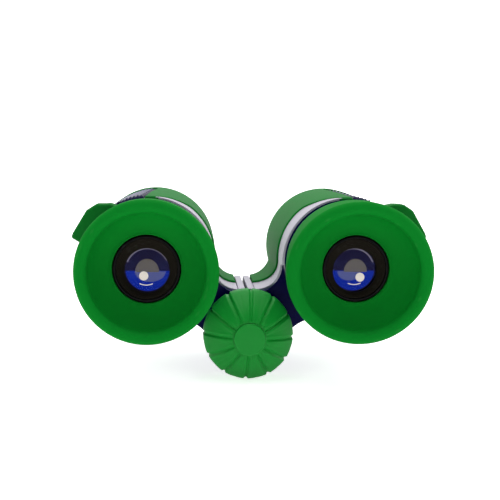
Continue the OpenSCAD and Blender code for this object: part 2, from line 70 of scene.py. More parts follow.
RIM_Y = left_cup[0].y
AXIS_X = (right_cup[0].x + right_cup[1].x) / 2
AXIS_Z = (right_cup[0].z + right_cup[1].z) / 2
HALF = AXIS_X / MM
DROP = (AXIS_Z - (knob_box[0].z + knob_box[1].z) / 2) / MM
SET_BACK = (right_cup[0].y - RIM_Y) / MM
CUP_R = (right_cup[1].x - right_cup[0].x) / 2 / MM
KNOB_R = (knob_box[1].x - knob_box[0].x) / 2 / MM
FRONT = (armour_box[1].y - RIM_Y) / MM
BRIDGE_FRONT = 68
BARREL_R = 19.7
COVER_R = 12
TOP_FILLET = 9.4
LOW_FILLET = 14
HALF_GAP = 0.35
FLOOR_Z = cad_box[0].z


def place(point, side=1):
    """A point in millimetres from the rim and the axis plane, in the row frame."""
    x, y, z = point
    return Vector((side * x * MM, RIM_Y + y * MM, AXIS_Z + z * MM))


# ---------------------------------------------------------------- mesh helpers

def piece(name, points, faces, paint, body, side=1, sharp=35):
    """A finished mesh piece in the row frame that rides on a body."""
    mesh = bpy.data.meshes.new(name)
    mesh.from_pydata([place(p, side) for p in points], [], faces)
    work = bmesh.new()
    work.from_mesh(mesh)
    bmesh.ops.remove_doubles(work, verts=work.verts, dist=2e-7)
    bmesh.ops.dissolve_degenerate(work, edges=work.edges, dist=1e-7)
    bmesh.ops.recalc_face_normals(work, faces=work.faces)
    work.to_mesh(mesh)
    work.free()
    mesh.polygons.foreach_set("use_smooth", [True] * len(mesh.polygons))
    mesh.set_sharp_from_angle(angle=math.radians(sharp))
    obj = bpy.data.objects.new(name, mesh)
    bpy.context.scene.collection.objects.link(obj)
    mesh.materials.append(paint)
    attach(obj, body)
    return obj


def loft(loops, wrap=False):
    """Quads between neighbouring closed loops of equal length, capped unless the row wraps."""
    count = len(loops[0])
    points = [p for loop in loops for p in loop]
    faces = []
    for i in range(len(loops) if wrap else len(loops) - 1):
        here = i * count
        there = (i + 1) % len(loops) * count
        for k in range(count):
            n = (k + 1) % count
            faces.append((here + k, there + k, there + n, here + n))
    if not wrap:
        faces.append(tuple(range(count)))
        faces.append(tuple(range(len(points) - 1, len(points) - count - 1, -1)))
    return points, faces


def join(*parts):
    """Several (points, faces) pairs as one."""
    points, faces = [], []
    for more_points, more_faces in parts:
        start = len(points)
        points += more_points
        faces += [tuple(start + i for i in face) for face in more_faces]
    return points, faces


def rounded(corners, steps=5):
    """Closed flat outline; a corner given as (u, v, radius) becomes an arc."""
    out = []
    for i, corner in enumerate(corners):
        here = Vector(corner[:2])
        if len(corner) < 3:
            out.append((here.x, here.y))
            continue
        back = Vector(corners[i - 1][:2]) - here
        on = Vector(corners[(i + 1) % len(corners)][:2]) - here
        half = back.angle(on) / 2
        cut = min(corner[2] / math.tan(half), back.length * 0.48, on.length * 0.48)
        radius = cut * math.tan(half)
        centre = here + (back.normalized() + on.normalized()).normalized() * radius / math.sin(half)
        start = here + back.normalized() * cut - centre
        end = here + on.normalized() * cut - centre
        for k in range(steps + 1):
            ray = start.lerp(end, k / steps).normalized() * radius
            out.append((centre.x + ray.x, centre.y + ray.y))
    return out


def spin(profile, x=HALF, z=0, y=0, count=160, lobes=None):
    """Closed profile of (radius, y) turned about an axis; lobes(angle, r, y) may bend it."""
    loops = []
    for i in range(count):
        angle = 2 * math.pi * i / count
        loop = []
        for r, along in profile:
            if lobes:
                r, along = lobes(angle, r, along)
            loop.append((x + r * math.cos(angle), y + along, z + r * math.sin(angle)))
        loops.append(loop)
    return loft(loops, wrap=True)


def arc(radius, start, end, x=0.0, z=0.0, tall=1.0, count=48):
    """Points of an arc, angles in degrees, both ends included unless it is a full turn."""
    steps = count if end - start == 360 else count - 1
    turns = [math.radians(start + (end - start) * k / steps) for k in range(count)]
    return [(x + radius * math.cos(t), z + radius * tall * math.sin(t)) for t in turns]


def round_barrel(theta, y, skin):
    """A point on the barrel, at an angle from the inward horizontal and a height above it."""
    r = BARREL_R + skin
    return HALF - r * math.cos(theta), y, r * math.sin(theta)


def ease(t):
    """Smooth step from 0 to 1."""
    t = min(1.0, max(0.0, t))
    return t * t * (3 - 2 * t)


def curve_through(table):
    """Smooth function through (position, value) pairs in rising order."""
    slopes = []
    for i in range(len(table)):
        a = table[max(0, i - 1)]
        b = table[min(len(table) - 1, i + 1)]
        slopes.append((b[1] - a[1]) / (b[0] - a[0]))

    def value(at):
        if at <= table[0][0]:
            return table[0][1]
        if at >= table[-1][0]:
            return table[-1][1]
        i = max(k for k in range(len(table) - 1) if table[k][0] <= at)
        (x0, v0), (x1, v1) = table[i], table[i + 1]
        w = x1 - x0
        t = (at - x0) / w
        return ((2 * t ** 3 - 3 * t ** 2 + 1) * v0 + (t ** 3 - 2 * t ** 2 + t) * w * slopes[i]
                + (3 * t ** 2 - 2 * t ** 3) * v1 + (t ** 3 - t ** 2) * w * slopes[i + 1])

    return value


# ---------------------------------------------------------------- the outline of one half

REACH = math.hypot(HALF, DROP)
WEB = math.atan2(DROP, HALF)


def fillet_at(radius, side):
    """Centre of the fillet between the hinge cover and the barrel."""
    to_hinge = COVER_R + radius
    to_barrel = BARREL_R + radius
    along = (to_hinge ** 2 - to_barrel ** 2 + REACH ** 2) / (2 * REACH)
    off = side * math.sqrt(to_hinge ** 2 - along ** 2)
    return (along * math.cos(WEB) - off * math.sin(WEB),
            -DROP + along * math.sin(WEB) + off * math.cos(WEB))


TOP_AT = fillet_at(TOP_FILLET, 1)
LOW_AT = fillet_at(LOW_FILLET, -1)
COVER_START = math.asin(HALF_GAP / COVER_R)
COVER_END = math.atan2(TOP_AT[0], TOP_AT[1] + DROP)
COVER_LEN = (COVER_END - COVER_START) * COVER_R
FILLET_START = math.atan2(-DROP - TOP_AT[1], -TOP_AT[0])
FILLET_END = math.atan2(-TOP_AT[1], HALF - TOP_AT[0])
FILLET_LEN = (FILLET_END - FILLET_START) * TOP_FILLET
BARREL_AT = COVER_LEN + FILLET_LEN
THETA_TOP = math.atan2(TOP_AT[1], HALF - TOP_AT[0])
THETA_LOW = 2 * math.pi + math.atan2(LOW_AT[1], HALF - LOW_AT[0])


def outline(u, skin=0.0):
    """(x, z) at a length u along the half's top outline from the gap, then round the barrel."""
    if u < COVER_LEN:
        turn = COVER_START + u / COVER_R
        r = COVER_R + skin
        return r * math.sin(turn), -DROP + r * math.cos(turn)
    if u < BARREL_AT:
        turn = FILLET_START + (u - COVER_LEN) / TOP_FILLET
        r = TOP_FILLET - skin
        return TOP_AT[0] + r * math.cos(turn), TOP_AT[1] + r * math.sin(turn)
    theta = THETA_TOP + (u - BARREL_AT) / BARREL_R
    r = BARREL_R + skin
    return HALF - r * math.cos(theta), r * math.sin(theta)


def u_of(theta):
    """Length along the outline at an angle round the barrel, from the inward horizontal."""
    return BARREL_AT + (theta - THETA_TOP) * BARREL_R


# Where the silver band ends and the rubber armour starts on the inner side, along the outline:
# over the bridge, up the flank of the barrel and back towards the eyecup at the top
INNER_EDGE = curve_through([(0, 52), (3, 51.2), (6, 49), (8, 47), (10, 45), (13, 42.6), (17, 40.8)] + [
    (u_of(math.radians(theta)), y)
    for theta, y in [(12, 40), (50, 39.8), (57, 37.3), (62, 34.9), (68, 33), (74, 31), (80, 28.5), (86, 26.4)]
])

# The armour's rear edge on the outer side, height against distance, and the same turned round
OUTER_TABLE = [(-2, 40), (4, 42), (9, 46), (13, 53), (16.2, 63), (18.5, 72), (20, 76.5), (24, 79)]
OUTER_EDGE = curve_through(OUTER_TABLE)
OUTER_HEIGHT = curve_through([(y, z) for z, y in OUTER_TABLE])

# Rear edge of the silver band on the bridge
BAND_REAR = curve_through([(0, 38), (3, 37.2), (6, 35.4), (8.5, 33.8), (10.5, 33.3), (17, 33.3)])
BAND_START = 26.15


def grip_side(y):
    """Angle round the barrel where the armour's inner panel meets the ribbed grip."""
    return math.radians(94 - 6 * (min(80, max(26, y)) - 28) / 47)


ARMOUR_R = curve_through([(26, 20.5), (40, 20.9), (54, 21.05), (60, 21.1), (81, 21.1)])


def armour_skin(y):
    """Height of the armour above the barrel."""
    return ARMOUR_R(y) - BARREL_R


# ---------------------------------------------------------------- materials

def srgb(r, g, b):
    """Linear colour from the usual 0 to 255 values."""
    return tuple(((c / 255) / 12.92 if c <= 10 else ((c / 255 + 0.055) / 1.055) ** 2.4)
                 for c in (r, g, b)) + (1.0,)


def surface(name, colour, roughness, tint=0.12, patch=90, grain=2600, bump=0.12, spread=0.08,
            metallic=0.0, worn=0.25, specular=0.5):
    """Moulded or metal surface: cloudy colour, worn edges, grain in roughness and height."""
    paint = bpy.data.materials.new(name)
    paint.use_nodes = True
    tree = paint.node_tree
    shader = tree.nodes["Principled BSDF"]
    shader.inputs["Metallic"].default_value = metallic
    shader.inputs["Specular IOR Level"].default_value = specular

    def node(kind, **settings):
        made = tree.nodes.new(kind)
        for key, value in settings.items():
            setattr(made, key, value)
        return made

    place_node = node("ShaderNodeTexCoord")
    clouds = node("ShaderNodeTexNoise")
    clouds.inputs["Scale"].default_value = patch
    clouds.inputs["Detail"].default_value = 6
    fine = node("ShaderNodeTexNoise")
    fine.inputs["Scale"].default_value = grain
    fine.inputs["Detail"].default_value = 3
    for texture in (clouds, fine):
        tree.links.new(place_node.outputs["Object"], texture.inputs["Vector"])

    shade = node("ShaderNodeMix", data_type="RGBA")
    shade.inputs["A"].default_value = [c * (1 - tint) for c in colour[:3]] + [1]
    shade.inputs["B"].default_value = [min(1, c * (1 + tint)) for c in colour[:3]] + [1]
    tree.links.new(clouds.outputs["Fac"], shade.inputs["Factor"])

    edges = node("ShaderNodeNewGeometry")
    rim = node("ShaderNodeMapRange")
    rim.inputs["From Min"].default_value = 0.52
    rim.inputs["From Max"].default_value = 0.62
    tree.links.new(edges.outputs["Pointiness"], rim.inputs["Value"])
    patchy = node("ShaderNodeMath", operation="MULTIPLY")
    tree.links.new(rim.outputs["Result"], patchy.inputs[0])
    tree.links.new(clouds.outputs["Fac"], patchy.inputs[1])
    amount = node("ShaderNodeMath", operation="MULTIPLY")
    amount.inputs[1].default_value = worn
    tree.links.new(patchy.outputs["Value"], amount.inputs[0])
    wear = node("ShaderNodeMix", data_type="RGBA")
    wear.inputs["B"].default_value = [min(1, c * 1.25 + 0.06) for c in colour[:3]] + [1]
    tree.links.new(amount.outputs["Value"], wear.inputs["Factor"])
    tree.links.new(shade.outputs["Result"], wear.inputs["A"])
    tree.links.new(wear.outputs["Result"], shader.inputs["Base Color"])

    rough = node("ShaderNodeMapRange")
    rough.inputs["To Min"].default_value = max(0.02, roughness - spread)
    rough.inputs["To Max"].default_value = min(1, roughness + spread)
    tree.links.new(fine.outputs["Fac"], rough.inputs["Value"])
    tree.links.new(rough.outputs["Result"], shader.inputs["Roughness"])

    height = node("ShaderNodeBump")
    height.inputs["Strength"].default_value = bump
    height.inputs["Distance"].default_value = 0.0001
    tree.links.new(fine.outputs["Fac"], height.inputs["Height"])
    tree.links.new(height.outputs["Normal"], shader.inputs["Normal"])
    return paint


def glass(name, colour, cover, roughness=0.04):
    """Coated lens: mostly clear, with a coloured mirror-like reflection and a film of dust."""
    paint = bpy.data.materials.new(name)
    paint.use_nodes = True
    tree = paint.node_tree
    shader = tree.nodes["Principled BSDF"]
    shader.inputs["Base Color"].default_value = colour
    shader.inputs["Metallic"].default_value = 1.0
    shader.inputs["Alpha"].default_value = cover
    dust = tree.nodes.new("ShaderNodeTexNoise")
    dust.inputs["Scale"].default_value = 900
    dust.inputs["Detail"].default_value = 4
    where = tree.nodes.new("ShaderNodeTexCoord")
    tree.links.new(where.outputs["Object"], dust.inputs["Vector"])
    film = tree.nodes.new("ShaderNodeMapRange")
    film.inputs["To Min"].default_value = roughness * 0.5
    film.inputs["To Max"].default_value = roughness * 1.5
    tree.links.new(dust.outputs["Fac"], film.inputs["Value"])
    tree.links.new(film.outputs["Result"], shader.inputs["Roughness"])
    return paint


def glow(name, colour):
    """Painted light: faintly uneven emission for the light that comes through the optics and for the
    reflections and highlights in the eye lens.
    """
    paint = bpy.data.materials.new(name)
    paint.use_nodes = True
    tree = paint.node_tree
    shader = tree.nodes["Principled BSDF"]
    shader.inputs["Base Color"].default_value = (0, 0, 0, 1)
    shader.inputs["Roughness"].default_value = 0.6
    shader.inputs["Specular IOR Level"].default_value = 0.0
    shader.inputs["Emission Strength"].default_value = 1
    spots = tree.nodes.new("ShaderNodeTexNoise")
    spots.inputs["Scale"].default_value = 1200
    where = tree.nodes.new("ShaderNodeTexCoord")
    tree.links.new(where.outputs["Object"], spots.inputs["Vector"])
    tone = tree.nodes.new("ShaderNodeMix")
    tone.data_type = "RGBA"
    tone.inputs["A"].default_value = [c * 0.85 for c in colour[:3]] + [1]
    tone.inputs["B"].default_value = colour
    tree.links.new(spots.outputs["Fac"], tone.inputs["Factor"])
    tree.links.new(tone.outputs["Result"], shader.inputs["Emission Color"])
    return paint


CUP_RUBBER = surface("cup_rubber", srgb(6, 132, 38), 0.7, tint=0.08, grain=3200, bump=0.1,
                     specular=0.05)
ARMOUR_RUBBER = surface("armour_rubber", srgb(8, 122, 40), 0.6, tint=0.08, grain=2800, bump=0.12,
                        specular=0.1)
# The knob's rubber is lighter than the armour's: partly its own colour, partly painted light standing in for
# light from below.
KNOB_RUBBER_PAINTED_LIGHT = surface("knob_rubber", srgb(13, 156, 52), 0.5, tint=0.08, grain=3000, bump=0.1,
                      specular=0.25)
# Painted shade: the armour's rubber made a little darker for the shadow the lug sits in.
LUG_RUBBER_PAINTED_SHADE = surface("lug_rubber", srgb(4, 118, 36), 0.65, tint=0.08, grain=2800, bump=0.12,
                     specular=0.12)
NAVY = surface("navy_plastic", srgb(2, 3, 76), 0.3, tint=0.1, grain=1500, bump=0.03,
               specular=0.06)
GRIP = surface("grip_rubber", srgb(5, 5, 62), 0.4, tint=0.1, grain=1800, bump=0.04, specular=0.1)
# Painted highlight: a lighter navy on the rib crests stands in for their shine.
PAINTED_CREST_HIGHLIGHT = surface("grip_crest", srgb(78, 76, 132), 0.35, tint=0.1, grain=1800, bump=0.04,
                     specular=0.4)
SILVER = surface("silver_trim", srgb(196, 189, 206), 0.38, tint=0.05, grain=2200, bump=0.05,
                 metallic=0.2)
BLACK = surface("black_plastic", srgb(4, 3, 4), 0.35, tint=0.2, grain=2000, bump=0.05, specular=0.1)
RING_BLACK = surface("ring_black", srgb(30, 26, 20), 0.7, tint=0.3, grain=2400, bump=0.12,
                     specular=0.06)
MATT_BLACK = surface("matt_black", srgb(8, 8, 9), 0.8, tint=0.2, grain=1500, bump=0.1, specular=0.2)
GREY = surface("grey_plastic", srgb(95, 96, 100), 0.5, tint=0.1, grain=1500, bump=0.08)
STEEL = surface("steel", srgb(190, 190, 192), 0.28, tint=0.06, grain=4000, bump=0.03, metallic=1)
SPRING = surface("spring_steel", srgb(150, 150, 155), 0.35, tint=0.1, grain=4000, bump=0.04,
                 metallic=1)
BRASS = surface("brass", srgb(200, 165, 85), 0.32, tint=0.08, grain=3000, bump=0.04, metallic=1)
NYLON = surface("nylon", srgb(225, 222, 212), 0.5, tint=0.04, grain=1800, bump=0.05)
PRISM = surface("prism_glass", srgb(150, 165, 170), 0.08, tint=0.05, grain=900, bump=0.01,
                specular=0.9)
EYE_COAT = glass("eye_lens_coating", (0.03, 0.05, 0.2, 1), 0.05)
# Painted reflection: a glowing blue crescent for the coating's reflection low in the eye lens.
BLUE_GLOW = glow("blue_reflection", srgb(18, 40, 148))
FIELD_COAT = glass("field_lens_coating", (0.35, 0.33, 0.45, 1), 0.15)
FRONT_COAT = glass("objective_coating", (0.16, 0.03, 0.3, 1), 0.22)
# Painted light: a glowing white for the bright pupil and a highlight arc in the eye lens.
PUPIL = glow("pupil_light", srgb(236, 228, 214))
# Painted reflections: glowing discs for the grey upper and blue lower reflections in the eye lens.
UPPER_PAINTED_REFLECTION = glow("upper_reflection", srgb(98, 93, 82))
LOWER_PAINTED_REFLECTION = glow("lower_reflection", srgb(84, 90, 140))
# Painted reflection: a dark glowing disc for the dim reflection across the eye lens.
PAINTED_DARK_REFLECTION = glow("deep_glass", srgb(26, 22, 44))
# Painted highlight: a glowing grey arc for the lit top of the lens edge.
RIM_LIGHT = glow("lit_glass_rim", srgb(112, 108, 122))


# ---------------------------------------------------------------- eyecups and eyepieces

# How the soft rim of each cup is out of round: wider by, moved outward and down by
CUP_GIVE = {"left": (-0.01, -0.35, 0.1), "right": (0.035, 0.1, 0.4)}


def eyecup(side):
    """Rubber cup: rounded rim, funnel with a fine bead round the lens, and waisted skirt."""
    lip = 1.9
    lip_in = CUP_R - 2 * lip
    hole = 10.1
    steps = 28
    quarter = [math.pi / 2 * k / steps for k in range(1, steps + 1)]
    bead = [(hole, 9.1), (hole + 0.03, 8.72), (hole + 0.14, 8.52), (hole + 0.3, 8.46), (hole + 0.48, 8.54)]
    funnel = [(hole + (lip_in - hole) * math.sin(t), lip + (8.6 - lip) * math.cos(t))
              for t in quarter[2:]]
    rim = [(CUP_R - lip - lip * math.cos(t), lip - lip * math.sin(t))
           for t in [math.pi * k / steps for k in range(1, steps + 1)]]

    def skirt(y):
        return CUP_R - 0.02 - 0.0035 * (y - lip) ** 2

    outside = [(skirt(3 + 1.5 * k), 3 + 1.5 * k) for k in range(11)]
    end = skirt(18)
    foot = [(end - 0.08, 19.2), (end - 0.16, 19.65), (end - 0.4, 19.92), (end - 0.7, 20),
            (18.2, 20), (18, 19.8), (17.95, 19.4)]
    inside = [(18.25, 11.4), (12.2, 11.4), (12.2, 13.4), (hole + 0.05, 13.4), (hole, 13.2)]
    shift = SET_BACK if side == "right" else 0
    round_points, faces = spin(bead + funnel + rim + outside + foot + inside, y=shift, count=200)
    wider, outward, lower = CUP_GIVE[side]
    points = []
    for x, y, z in round_points:
        give = ease((math.hypot(x - HALF, z) - 12) / 6) * ease((16 - y + shift) / 12)
        points.append((x + ((x - HALF) * wider + outward) * give, y, z - lower * give))
    body = "right_eyepiece" if side == "right" else "left_half"
    obj = piece(f"{side}_eyecup_rubber", points, faces, CUP_RUBBER, body,
                SIDES[side])
    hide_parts(f"{side}_eyecup")


# How far the eye lens sits below the middle of its mount
LENS_DROP = 0.75
# Where the painted reflections and the painted pupil sit in each eye lens, outward and up from its own axis
LENS_LOOK = {
    "left": {"upper": 0.1, "lower": -0.8, "wide": 4.6, "tall": 0.68, "pupil": (1.1, -1.9)},
    "right": {"upper": 0.7, "lower": -1.2, "wide": 3.6, "tall": 0.8, "pupil": (2.1, -2.4)},
}
RING_STEPS = 5
RING_REAR = 9.35
GLASS_Y = 13.2


def eyepiece(side):
    """Black lens mount, stepped retaining ring, coated lens, and glowing discs behind it that are painted
    reflections, a painted pupil and painted highlights.
    """
    shift = SET_BACK if side == "right" else 0
    body = "right_eyepiece" if side == "right" else "left_half"
    sign = SIDES[side]

    def add(name, profile, paint, replaced, count=120, drop=0.0):
        points, faces = spin(profile, y=shift, count=count)
        points = [(x, y, z - drop * ease((y - shift - RING_REAR - 0.05) / 1.4)) for x, y, z in points]
        obj = piece(f"{side}_{name}", points, faces, paint, body, sign)
        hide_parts(f"{side}_{replaced}")

    tube = rounded([
        (9, 8.9, 0.25), (9.98, 8.9, 0.45), (9.98, 16), (12, 16, 0.2), (12, 33.6, 0.3), (10.5, 33.6),
        (10.5, 24.4), (8.6, 24.4), (8.6, 22.4), (7.6, 22.4), (7.6, 16.4), (8.6, 16.4), (8.6, 12.4),
        (9, 12.4),
    ])
    add("lens_mount", tube, BLACK, "eyepiece_tube")

    steps = [(8.98, RING_REAR, 0.12)]
    for i in range(RING_STEPS):
        r = 8.45 - 0.38 * i
        y = RING_REAR + 0.28 * i
        steps += [(r, y, 0.08), (r - 0.06, y + 0.24, 0.05)]
    steps += [(6.62, 10.85, 0.1), (6.62, 11.6), (7.2, 11.6), (8, 12.4), (8.98, 12.4)]
    add("stepped_ring", rounded(steps, 3), RING_BLACK, "eye_lens_ring",
        drop=LENS_DROP)
    add("coated_eye_lens", lens_profile(6.8, 11.75, 0.6, 0.5, 0.5), EYE_COAT,
        "eye_lens", 96)

    def disc(name, outline_xz, depth, paint, thick=0.1):
        count = len(outline_xz)
        points = [(HALF + x, GLASS_Y + depth + shift + t, z - LENS_DROP) for t in (0, thick)
                  for x, z in outline_xz]
        faces = [tuple(range(count)), tuple(range(2 * count - 1, count - 1, -1))]
        faces += [(k, k + count, (k + 1) % count + count, (k + 1) % count) for k in range(count)]
        piece(f"{side}_{name}", points, faces, paint, body, sign)

    look = LENS_LOOK[side]
    # Painted reflection: the dark disc behind the whole eye lens.
    disc("deep_glass", arc(6.9, 0, 360), 1, PAINTED_DARK_REFLECTION)
    # Painted highlight: the lit top arc of the lens edge.
    disc("lit_rim", arc(6.55, 20, 155) + arc(6.1, 20, 155)[::-1], 0.4, RIM_LIGHT)
    # Painted reflection: the blue crescent low in the eye lens.
    disc("blue_reflection", arc(6.5, 184, 356), 0.7, BLUE_GLOW)
    # Painted reflections: the upper and lower halves seen in the eye lens.
    disc("upper_reflection", arc(3.55, 0, 180, look["upper"], -0.8, 1.12), 0.45, UPPER_PAINTED_REFLECTION)
    disc("lower_reflection", arc(look["wide"], 180, 360, look["lower"], -0.6, look["tall"]),
         0.55, LOWER_PAINTED_REFLECTION)
    # Painted light: the bright pupil seen through the optics.
    disc("pupil", arc(1.36, 0, 360, *look["pupil"]), 0.1, PUPIL)
    # Painted highlight: a thin white arc low in the eye lens.
    disc("smile", arc(4.75, 246, 296, 0.3) + arc(4.5, 246, 296, 0.3)[::-1], 0, PUPIL)


def lens_profile(r, y, bulge_rear, bulge_front, thick, steps=20):
    """Closed outline of a lens from its axis out along one face and back along the other."""
    near = [(r * k / steps, y - bulge_rear * (1 - (k / steps) ** 2)) for k in range(steps + 1)]
    far = [(r * k / steps, y + thick + bulge_front * (1 - (k / steps) ** 2))
           for k in range(steps, -1, -1)]
    return near + far


# ---------------------------------------------------------------- armour, trim and grip

# Height of a skin's underside above the barrel, and the radius of the rubber's edges
BASE = 0.05
EDGE = 0.45
# Where the armour's ring ends in its bumper
BUMPER_REAR = 81
# Angles round the barrel between which the inner panel takes over from the ring
PANEL_RAMP = (84.5, 87.5)
# Space between the front of the bridge's rubber and the front of the bridge
BRIDGE_SHY = 0.6


def rounding(steps=4):
    """Quarter turn from the wall to the top of a rounded edge: (rise, run) from 0 to 1."""
    return [(math.sin(t), 1 - math.cos(t)) for t in [math.pi / 2 * k / steps for k in range(steps + 1)]]


def across(xz, y):
    """A point of an outline, given as x and z, at a distance y."""
    return xz[0], y, xz[1]


def skin_column(at, rear, front, sink=0.0, steps=16, round_front=True):
    """Closed column of a rubber skin from a rounded rear edge to the front; at(skin) gives x, z."""
    flat = [(armour_skin(rear) - EDGE + EDGE * rise, rear + EDGE * run) for rise, run in rounding()]
    last = front - EDGE if round_front else front
    for k in range(1, steps + 1):
        y = rear + EDGE + (last - rear - EDGE) * k / steps
        flat.append((armour_skin(y), y))
    if round_front:
        flat += [(armour_skin(front) - EDGE + EDGE * rise, front - EDGE * run)
                 for rise, run in reversed(rounding()[:-1])]
    flat = [(skin - sink, y) for skin, y in flat]
    return [across(at(skin), y) for skin, y in flat]


def ring_rear(theta):
    """Rear edge of the armour at an angle round the barrel, leaving the top to the inner panel."""
    start, end = (math.radians(angle) for angle in PANEL_RAMP)
    if THETA_LOW < theta < 2 * math.pi + THETA_TOP:
        return BRIDGE_FRONT + 0.05
    if theta > 2 * math.pi + THETA_TOP:
        theta -= 2 * math.pi
    outer = OUTER_EDGE(BARREL_R * math.sin(theta))
    if theta < end:
        inner = INNER_EDGE(u_of(theta))
        return inner + (outer - inner) * ease((theta - start) / (end - start))
    return outer


def armour_ring():
    """Rubber round the front of the barrel with the bumper and the mouth of the objective."""
    bumper = [(20.98, 82.6), (20.72, 84.3), (20.3, 85.5), (19.6, 86.4), (18.7, 86.87), (17.9, FRONT),
              (14.8, FRONT), (14, 86.75), (13.45, 86.3), (13.2, 85.6), (13.2, 84.05),
              (BARREL_R + BASE, 84.05)]
    angles = [2 * math.pi * k / 180 for k in range(180)]
    angles += [math.radians(PANEL_RAMP[0] + 0.25 * k) for k in range(14)]
    loops = []
    for theta in sorted(set(angles)):
        def at(skin):
            r = BARREL_R + skin
            return HALF - r * math.cos(theta), r * math.sin(theta)
        rear = ring_rear(theta)
        column = skin_column(at, rear, BUMPER_REAR, steps=24, round_front=False)
        column += [across(at(r - BARREL_R), y) for r, y in bumper + [(BARREL_R + BASE, rear)]]
        loops.append(column)
    return loft(loops, wrap=True)


def inner_panel():
    """Rubber along the top of the barrel, back to the eyecup, with its side against the grip."""
    start = math.radians(82)
    dive = 0.12
    proud = 0.015
    rear = 26.05
    rows = [rear, 26.12, 26.25, 26.5] + [27 + k for k in range(51)] + [77.8, 78.3, 79]
    loops = []
    for y in rows:
        end = grip_side(y)
        skin = armour_skin(y) + proud
        skin -= 0.4 * (1 - ease((y - rear) / EDGE)) + (dive + proud) * ease((y - 77.4) / 1.4)
        turn = EDGE / BARREL_R
        section = [(start, skin - dive), (start + turn, skin)]
        section += [(start + turn + (end - start - 2 * turn) * k / 10, skin) for k in range(1, 11)]
        section += [(end - turn * run, skin - EDGE + EDGE * rise) for rise, run in reversed(rounding()[:-1])]
        section += [(end, BASE), (start, BASE)]
        loops.append([round_barrel(theta, y, h) for theta, h in section])
    return loft(loops)


def bridge_cap():
    """Rubber over the top of the bridge, dipping under the ring where they meet."""
    start = 2.65
    end = u_of(THETA_TOP + math.radians(4))
    meet = u_of(THETA_TOP + math.radians(1.6))
    count = 60
    front = BRIDGE_FRONT - BRIDGE_SHY
    loops = []
    for i in range(count + 1):
        u = start + (end - start) * i / count
        rear = INNER_EDGE(u)
        fall = EDGE * (1 - math.sqrt(1 - (1 - min(1, (u - start) / EDGE)) ** 2))
        column = skin_column(lambda skin: outline(u, skin), rear, front,
                             sink=fall + 0.08 * ease((u - meet) / (end - meet)) - 0.01)
        column += [across(outline(u, BASE), y) for y in (front, rear)]
        loops.append(column)
    return loft(loops)


def armour(side):
    """Green rubber over the front of the barrel and the top of the bridge."""
    points, faces = join(armour_ring(), inner_panel(), bridge_cap())
    obj = piece(f"{side}_rubber_armour", points, faces, ARMOUR_RUBBER, f"{side}_half",
                SIDES[side])
    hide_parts(f"{side}_armour")


def silver_band():
    """Smooth band over the bridge and up the flank, its front edge under the armour."""
    height = 0.7
    soft = 0.22
    tuck = 0.25
    start = 2.5
    end = u_of(math.radians(84.5))
    corner = 16.3
    loops = []
    count = 240
    for i in range(count + 1):
        u = start + (end - start) * i / count
        rear = BAND_REAR(u) - (BAND_REAR(17) - BAND_START) * ease((u - corner) / 0.9)
        front = INNER_EDGE(u) + tuck
        section = [(BASE, rear)]
        section += [(height - soft + soft * rise, rear + soft * run) for rise, run in rounding()]
        section += [(height, rear + soft + (front - rear - soft) * k / 12) for k in range(1, 13)]
        section += [(BASE, front)]
        if u - start < soft:
            away = 1 - (u - start) / soft
            section = [(h - (soft * (1 - math.sqrt(1 - away ** 2)) if h > BASE else 0), y)
                       for h, y in section]
        loops.append([across(outline(u, h), y) for h, y in section])
    return loft(loops)


def gap_bar():
    """Raised bar beside the gap, along the whole top of the bridge."""
    rear = BAND_REAR(0) - 0.2
    front = BRIDGE_FRONT - BRIDGE_SHY
    rows = 40
    loops = []
    for i in range(rows + 1):
        y = rear + (front - rear) * i / rows
        lift = 1.0 - 0.3 * ease((rear + 1.2 - y) / 1.2) - 0.25 * ease((y - front + 0.5) / 0.5)
        section = [(0.05, 0.03), (0.05, lift - 0.3), (0.12, lift - 0.1), (0.3, lift)]
        section += [(0.3 + 1.8 * k / 4, lift + 0.05 * math.sin(math.pi * k / 4)) for k in range(1, 4)]
        section += [(2.1, lift), (2.28, lift - 0.1), (2.35, lift - 0.3), (2.35, 0.03)]
        loops.append([across(outline(u, h), y) for u, h in section])
    return loft(loops)


def trim(side):
    """Silver band behind the armour, with the bar beside the gap."""
    points, faces = join(silver_band(), gap_bar())
    obj = piece(f"{side}_silver_band", points, faces, SILVER, f"{side}_half",
                SIDES[side])
    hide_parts(f"{side}_trim")


def grip_ends(y):
    """Angles round the barrel where the ribbed pad starts and ends."""
    lug = math.radians(118 + 25 * ease((y - 34.8) / 1.2))
    edge = math.pi - math.asin(min(0.999, OUTER_HEIGHT(y + 0.4) / BARREL_R)) - 0.5 / BARREL_R
    return grip_side(y) + 0.4 / BARREL_R, min(lug, edge) if y > 40 else lug


GRIP_REAR = 28.2
GRIP_FRONT = 74.6
GRIP_ROWS = 80
# Spacing of the ribs round the barrel, and how far they drift outward for each unit forward
RIB_PITCH = 1.15
RIB_SLANT = 0.16


def grip_y(row):
    """Distance of one row of the grip's points."""
    return GRIP_REAR + (GRIP_FRONT - GRIP_REAR) * row / GRIP_ROWS


def grip_pad():
    """Soft pad with a low wave under each rib."""
    columns = 150
    soft = 0.5
    loops = []
    for i in range(GRIP_ROWS + 1):
        y = grip_y(i)
        first, last = grip_ends(y)
        end_fall = min(y - GRIP_REAR, GRIP_FRONT - y)
        loop = []
        for k in range(columns + 1):
            theta = first + (last - first) * k / columns
            side_fall = min(theta - first, last - theta) * BARREL_R
            fall = ease(min(side_fall, end_fall) / soft)
            wave = (theta * BARREL_R - RIB_SLANT * (y - GRIP_REAR)) / RIB_PITCH
            rib = 0.5 + 0.5 * math.cos(2 * math.pi * wave)
            skin = (0.75 + 0.25 * rib * ease(end_fall / 1.5)) * fall
            loop.append(round_barrel(theta, y, BASE + skin))
        loop += [round_barrel(theta, y, BASE - 0.02) for theta in (last, first)]
        loops.append(loop)
    return loft(loops)


